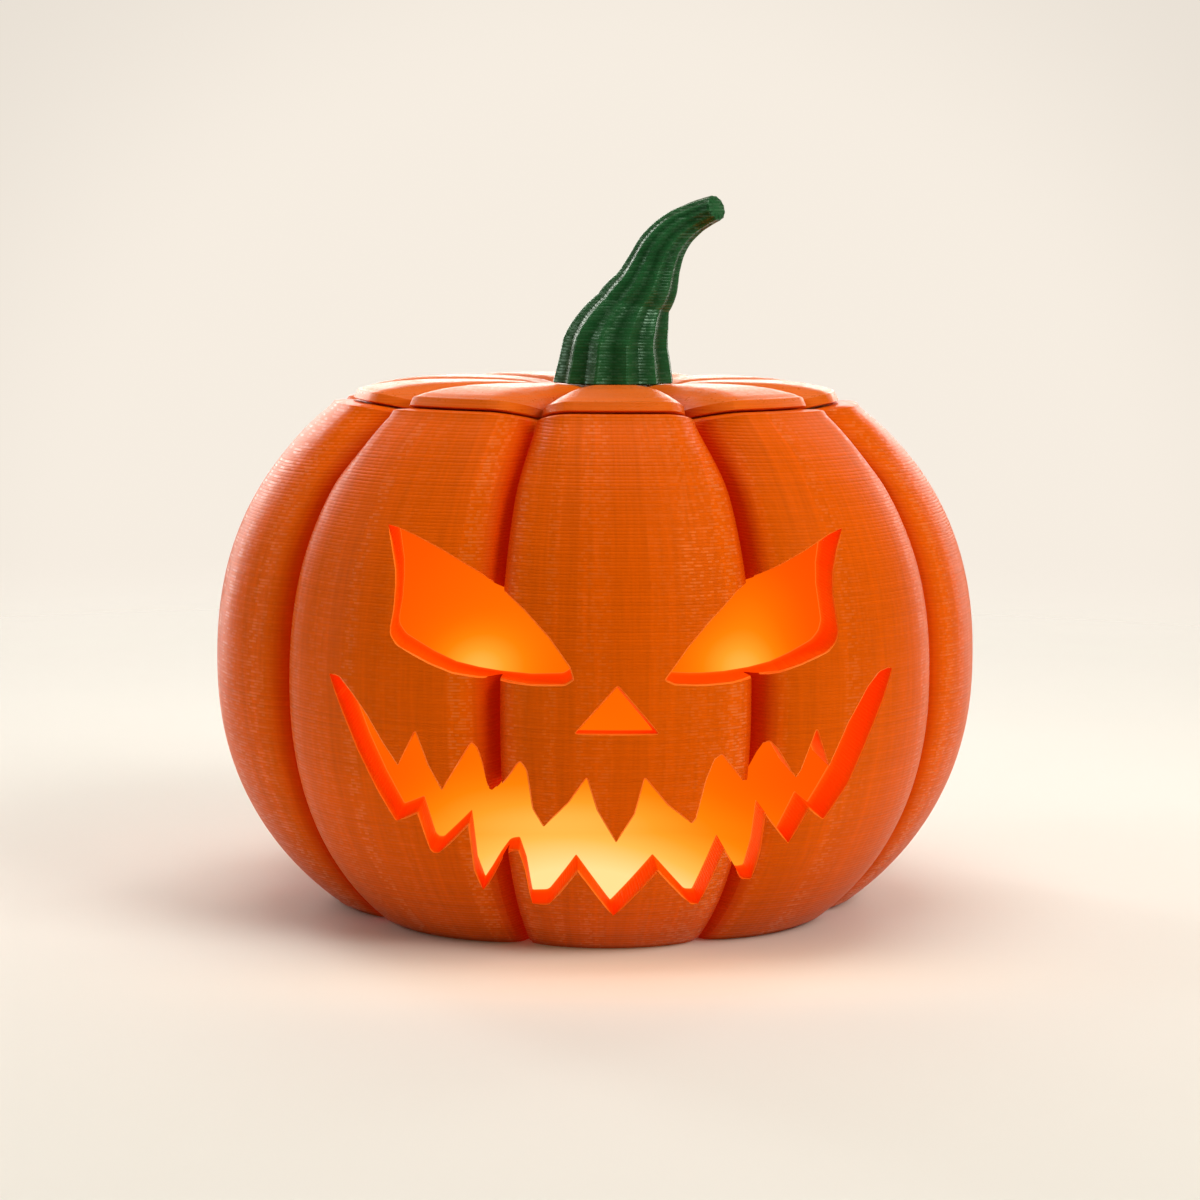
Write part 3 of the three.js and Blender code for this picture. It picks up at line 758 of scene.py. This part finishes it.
def make_stem():
    pts = [np.array(row[:3]) * R for row in STEM_AXIS]
    radii = np.array([row[3] for row in STEM_AXIS]) * R
    rings, rows, n = [], 110, STEM_RIBS * 2
    side = np.array([1.0, 0.0, 0.0])
    z0 = STEM_AXIS[0][2] * R
    edge = []
    for i in range(rows + 1):
        t = i / rows
        c = catmull(pts, t)
        along = catmull(pts, min(t + 1e-4, 1)) - catmull(pts, max(t - 1e-4, 0))
        along /= np.linalg.norm(along)
        r = np.interp(t * (len(radii) - 1), np.arange(len(radii)), radii)
        d = np.array([0, 0, 1.0]) * (1 - t ** 0.8) + along * t ** 0.8
        d /= np.linalg.norm(d)
        side = side - d * side.dot(d)
        side /= np.linalg.norm(side)
        other = np.cross(d, side)
        ring = []
        for j in range(n):
            a = (j + 0.5) * 2 * math.pi / n
            e = side * math.cos(a) + other * math.sin(a)
            q = r * ((STEM_VALLEY + 0.06 * t) if j % 2 else 1.0) / (math.sqrt(1 - e.dot(along) ** 2) if i else 1.0)
            v = c + e * q
            ring.append([v[0], v[1], v[2] if i else z0])
        ring = np.array(ring)
        fine = []
        for j in range(n):
            a, b = ring[j], ring[(j + 1) % n]
            fine += [a * (1 - u) + b * u for u in (0.09, 0.5, 0.91)]
        rings.append(np.array(fine))
    # eased rims at the foot and at the cut tip
    def inset(ring, amount, shift):
        c = ring.mean(0)
        v = ring - c
        return c + v * (1 - amount / np.linalg.norm(v, axis=1, keepdims=True)) + shift
    tip = catmull(pts, 1.0) - catmull(pts, 0.999)
    tip /= np.linalg.norm(tip)
    rings[-1] = rings[-1] - tip * 0.22
    rings.append(inset(rings[-1], 0.12, tip * 0.16))
    rings.append(inset(rings[-2], 0.34, tip * 0.22))
    foot = inset(rings[0], 0.2, np.zeros(3))
    rings[0] = rings[0] + np.array([0, 0, 0.16])
    rings.insert(0, foot)
    first, last = catmull(pts, 0.0), rings[-1].mean(0)
    verts, faces = ring_solid((first[0], first[1], z0), rings, last)
    stem = make_object("lantern_stem", verts, faces, (GREEN,), [0] * len(faces))
    # 1 on each rib's crest, 0 in its valley: the mask of the stem's painted rib shade
    per = np.array([[1.0, 0.5, 0.0] if j % 2 == 0 else [0.0, 0.5, 1.0] for j in range(n)]).ravel()
    point_value(stem.data, "ridge", np.concatenate([[0], np.tile(per, len(rings)), [1.0]]))
    shade(stem.data, 30)
    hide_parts("stem")
    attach(stem, "root")
    return stem


make_body()
make_lid()
make_stem()

# ---------------------------------------------------------------- floor, lights, camera
def make_floor():
    """A pale round table top that fades into the backdrop far from the lantern."""
    n = Nodes("studio_floor")
    grain = n.noise(n.pos, 0.02, 3.0)
    far = n.math("SQRT", n.math("ADD", n.math("MULTIPLY", n.x, n.x), n.math("MULTIPLY", n.y, n.y)))
    # painted shade: the table's colour darkens by up to 14 percent from 110 to 340 mm out
    fall = n.span(far, 110.0, 340.0, 1.0, 0.86, "SMOOTHSTEP")
    n.set("Base Color", n.mix(1.0, n.mix(grain, FLOOR_A, FLOOR_B), n.combine(fall, fall, fall), "MULTIPLY"))
    n.set("Roughness", 0.8)
    n.set("Specular IOR Level", 0.15)
    # the warm light that falls out of the mouth onto the table
    across = n.math("EXPONENT", n.math("MULTIPLY", n.math("POWER", n.math("ABSOLUTE", n.math("DIVIDE", n.x, 42.0)), 2.0), -1.0))
    ahead = n.math("EXPONENT", n.math("MULTIPLY", n.math("POWER", n.math("ABSOLUTE", n.math("DIVIDE", n.math("ADD", n.y, 58.0), 16.0)), 2.0), -1.0))
    n.set("Emission Color", (1.0, 0.70, 0.36, 1.0))
    n.set("Emission Strength", n.math("MULTIPLY", n.math("MULTIPLY", across, ahead), 0.30))
    n.set("Alpha", n.span(far, 130.0, 520.0, 1.0, 0.0, "SMOOTHSTEP"))
    rings = [(r, k * 2 * math.pi / 96) for r in (60.0, 200.0, 400.0, 620.0) for k in range(96)]
    verts = [(0.0, 0.0, 0.0)] + [(r * math.cos(a), r * math.sin(a), 0.0) for r, a in rings]
    faces = [(0, 1 + k, 1 + (k + 1) % 96) for k in range(96)]
    for i in range(3):
        for k in range(96):
            a, b = 1 + i * 96, 1 + (i + 1) * 96
            faces.append((a + k, b + k, b + (k + 1) % 96, a + (k + 1) % 96))
    floor = make_object("studio_floor", verts, faces, (n.mat,), [0] * len(faces))
    return floor


def area(name, place, target, size, power, colour):
    data = bpy.data.lights.new(name, "AREA")
    data.shape = "RECTANGLE"
    data.size, data.size_y = size
    data.energy, data.color = power, colour
    obj = bpy.data.objects.new(name, data)
    obj.location = place
    obj.rotation_mode = "QUATERNION"
    obj.rotation_quaternion = (Vector(target) - Vector(place)).to_track_quat("-Z", "Y")
    obj.visible_camera = False
    scene.collection.objects.link(obj)
    return obj


def make_world():
    """The camera sees a pale backdrop with painted shade, a little darker away from the middle of the view; the lantern
    is lit by a room that is bright behind.
    """
    world = bpy.data.worlds.new("studio")
    scene.world = world
    world.use_nodes = True
    t = world.node_tree
    t.nodes.clear()
    new, link = t.nodes.new, t.links.new
    coord, sep = new("ShaderNodeTexCoord"), new("ShaderNodeSeparateXYZ")
    link(coord.outputs["Generated"], sep.inputs[0])

    def span(socket, a, b, c, d):
        m = new("ShaderNodeMapRange")
        m.interpolation_type = "SMOOTHSTEP"
        link(socket, m.inputs[0])
        for k, v in zip((1, 2, 3, 4), (a, b, c, d)):
            m.inputs[k].default_value = v
        return m.outputs[0]

    def background(colour, strength):
        n = new("ShaderNodeBackground")
        n.inputs[0].default_value = (*colour, 1.0)
        if hasattr(strength, "is_output"):
            link(strength, n.inputs[1])
        else:
            n.inputs[1].default_value = strength
        return n.outputs[0]
    strength = new("ShaderNodeMath")
    strength.operation = "MULTIPLY"
    link(span(sep.outputs["Y"], -0.5, 0.8, ROOM_FRONT, ROOM_BACK), strength.inputs[0])
    link(span(sep.outputs["X"], -0.9, 0.9, ROOM_LEFT, 1.0), strength.inputs[1])
    room = background(ROOM, strength.outputs[0])
    def near(socket, middle):
        a, m = new("ShaderNodeMath"), new("ShaderNodeMath")
        a.operation, m.operation = "SUBTRACT", "POWER"
        link(socket, a.inputs[0])
        a.inputs[1].default_value = middle
        b = new("ShaderNodeMath")
        b.operation = "ABSOLUTE"
        link(a.outputs[0], b.inputs[0])
        link(b.outputs[0], m.inputs[0])
        m.inputs[1].default_value = 2.0
        return m.outputs[0]
    total, root = new("ShaderNodeMath"), new("ShaderNodeMath")
    total.operation, root.operation = "ADD", "SQRT"
    link(near(sep.outputs["X"], 0.088), total.inputs[0])
    link(near(sep.outputs["Z"], -0.12), total.inputs[1])
    link(total.outputs[0], root.inputs[0])
    # painted shade: the backdrop dims to 88 percent away from the middle of the view
    seen = background(BACKDROP, span(root.outputs[0], 0.17, 0.29, 1.0, 0.88))
    path, mix, out = new("ShaderNodeLightPath"), new("ShaderNodeMixShader"), new("ShaderNodeOutputWorld")
    link(path.outputs["Is Camera Ray"], mix.inputs[0])
    link(room, mix.inputs[1])
    link(seen, mix.inputs[2])
    link(mix.outputs[0], out.inputs[0])


FLOOR_A, FLOOR_B = (0.81, 0.835, 0.815), (0.83, 0.855, 0.835)
BACKDROP = (0.925, 0.850, 0.755)
ROOM, ROOM_FRONT, ROOM_BACK, ROOM_LEFT = (1.0, 0.82, 0.66), 0.26, 0.45, 0.80
make_floor()
make_world()
area("key", (0.80, -0.75, 0.75), (0.0, 0.0, 0.04), (0.6, 0.6), 8.5, (1.0, 0.94, 0.84))
area("rim_left", (-0.50, 0.80, 0.30), (0.0, 0.0, 0.05), (0.14, 0.9), 2.8, (1.0, 0.95, 0.92))
area("rim_right", (0.62, 0.66, 0.30), (0.0, 0.0, 0.05), (0.14, 0.9), 1.5, (1.0, 0.93, 0.88))
area("back_card", (0.05, 0.85, 0.24), (0.0, 0.0, 0.08), (1.1, 0.22), 3.2, (1.0, 0.96, 0.90))
area("side_left", (-0.88, 0.08, 0.30), (0.0, 0.0, 0.06), (0.14, 0.8), 1.5, (1.0, 0.95, 0.92))
area("top", (0.0, 0.05, 1.1), (0.0, 0.0, 0.05), (0.8, 0.6), 5.0, (1.0, 0.94, 0.86))

camera = bpy.data.cameras.new("camera")
camera.lens, camera.sensor_width, camera.sensor_fit = 89.705, 36.0, "HORIZONTAL"
camera.clip_start, camera.clip_end = 0.01, 20.0
eye = bpy.data.objects.new("camera", camera)
eye.location = (-0.04101, -0.47136, 0.10479)
eye.rotation_mode = "QUATERNION"
eye.rotation_quaternion = Vector((0.0878, 0.9888, -0.1211)).to_track_quat("-Z", "Y") @ Quaternion((0, 0, 1), 0.0071)
scene.collection.objects.link(eye)
scene.camera = eye
scene.view_settings.view_transform = "Standard"
